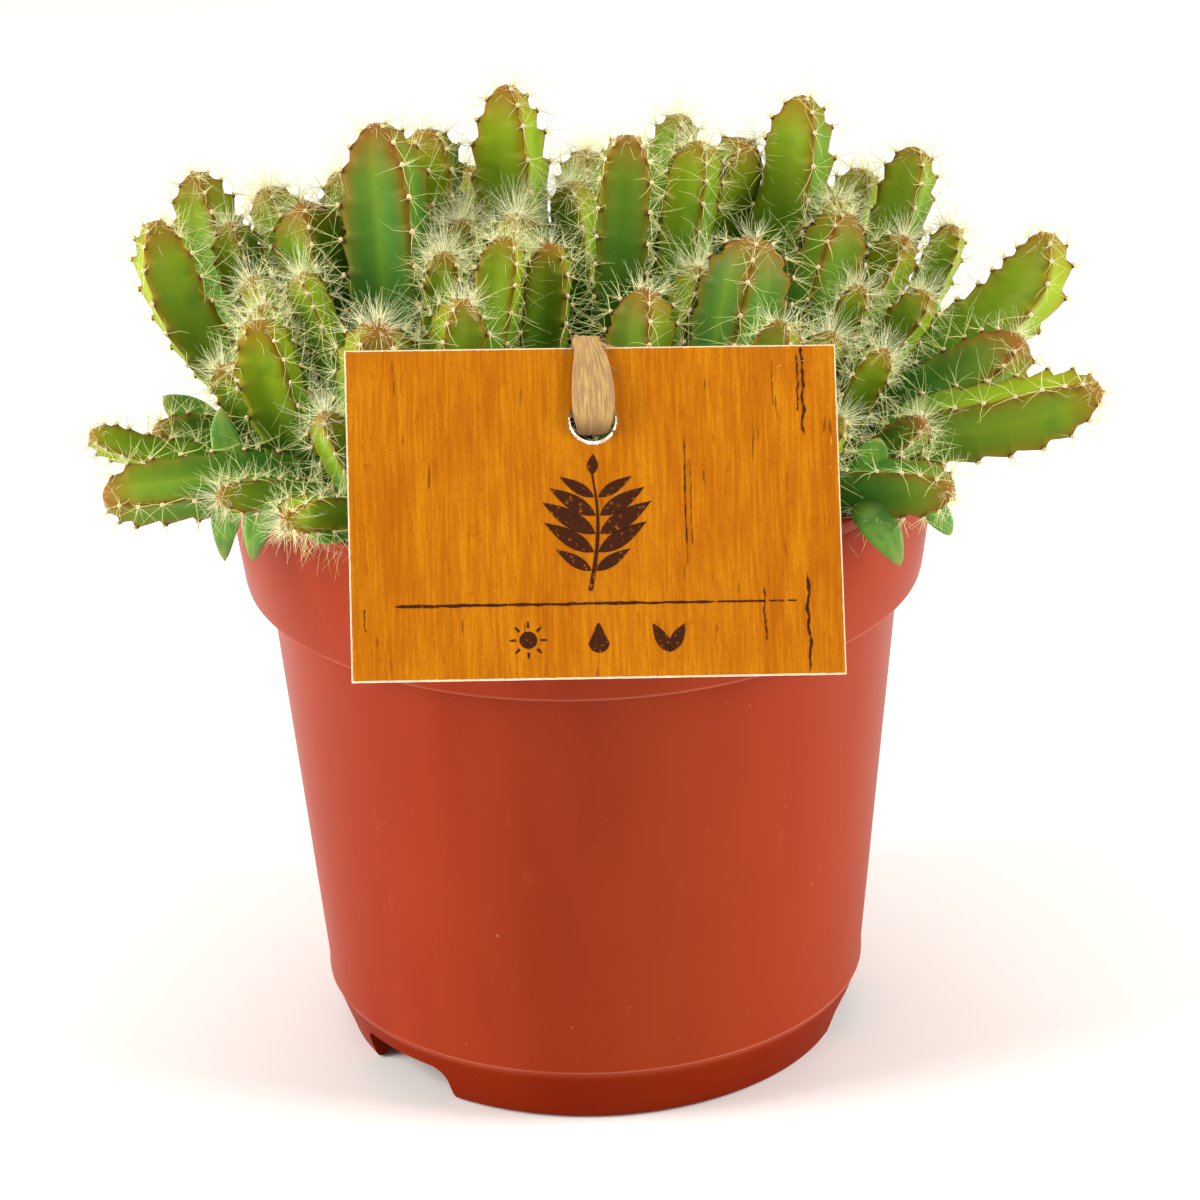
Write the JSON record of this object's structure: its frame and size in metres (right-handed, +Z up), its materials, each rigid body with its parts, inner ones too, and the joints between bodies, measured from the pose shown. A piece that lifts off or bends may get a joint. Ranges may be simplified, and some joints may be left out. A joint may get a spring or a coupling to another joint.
{
  "type": "potted dragon fruit cactus",
  "caption": "Clump of ribbed, spiny young dragon fruit cactus stems in a flared terracotta-coloured plastic pot, with a wooden-look card tied on by raffia.",
  "frame": {"origin": "on the ground under the middle of the object's footprint", "axes": "+X to the right along the widest spread of stems, +Y to the back, away from the card, +Z up"},
  "size_m": [0.1789, 0.144, 0.174],
  "materials": {
    "cactus_flesh": "waxy green skin, reddish brown on the crests, with cream areoles and pale spines",
    "pot_plastic": "satin terracotta orange",
    "soil": "dark crumbly potting soil",
    "card": "printed wood grain, satin",
    "raffia": "dry fibrous ribbon"
  },
  "bodies": {
    "root": {"Pot": "pot_plastic", "Soil": "soil", "Card": "card", "Raffia": "raffia", "Stem_01": "cactus_flesh", "Stem_02": "cactus_flesh", "Stem_03": "cactus_flesh", "Stem_04": "cactus_flesh", "Stem_05": "cactus_flesh", "Stem_06": "cactus_flesh", "Stem_07": "cactus_flesh", "Stem_08": "cactus_flesh", "Stem_09": "cactus_flesh", "Stem_10": "cactus_flesh", "Stem_11": "cactus_flesh", "Stem_12": "cactus_flesh", "Stem_13": "cactus_flesh", "Stem_14": "cactus_flesh", "Stem_15": "cactus_flesh", "Stem_16": "cactus_flesh", "Stem_17": "cactus_flesh", "Stem_18": "cactus_flesh", "Stem_19": "cactus_flesh", "Stem_20": "cactus_flesh", "Stem_21": "cactus_flesh", "Stem_22": "cactus_flesh", "Stem_23": "cactus_flesh", "Stem_24": "cactus_flesh", "Stem_25": "cactus_flesh", "Stem_26": "cactus_flesh", "Stem_27": "cactus_flesh", "Stem_28": "cactus_flesh", "Stem_29": "cactus_flesh", "Stem_30": "cactus_flesh", "Stem_31": "cactus_flesh", "Stem_32": "cactus_flesh", "Stem_33": "cactus_flesh", "Stem_34": "cactus_flesh", "Stem_35": "cactus_flesh", "Stem_36": "cactus_flesh", "Stem_37": "cactus_flesh", "Stem_38": "cactus_flesh", "Stem_39": "cactus_flesh", "Stem_40": "cactus_flesh", "Stem_41": "cactus_flesh", "Stem_42": "cactus_flesh", "Stem_43": "cactus_flesh", "Stem_44": "cactus_flesh", "Stem_45": "cactus_flesh", "Stem_46": "cactus_flesh", "Stem_47": "cactus_flesh", "Stem_48": "cactus_flesh", "Stem_49": "cactus_flesh", "Stem_50": "cactus_flesh", "Stem_51": "cactus_flesh", "Stem_52": "cactus_flesh", "Stem_53": "cactus_flesh", "Stem_54": "cactus_flesh", "Stem_55": "cactus_flesh", "Stem_56": "cactus_flesh"}
  },
  "joints": []
}
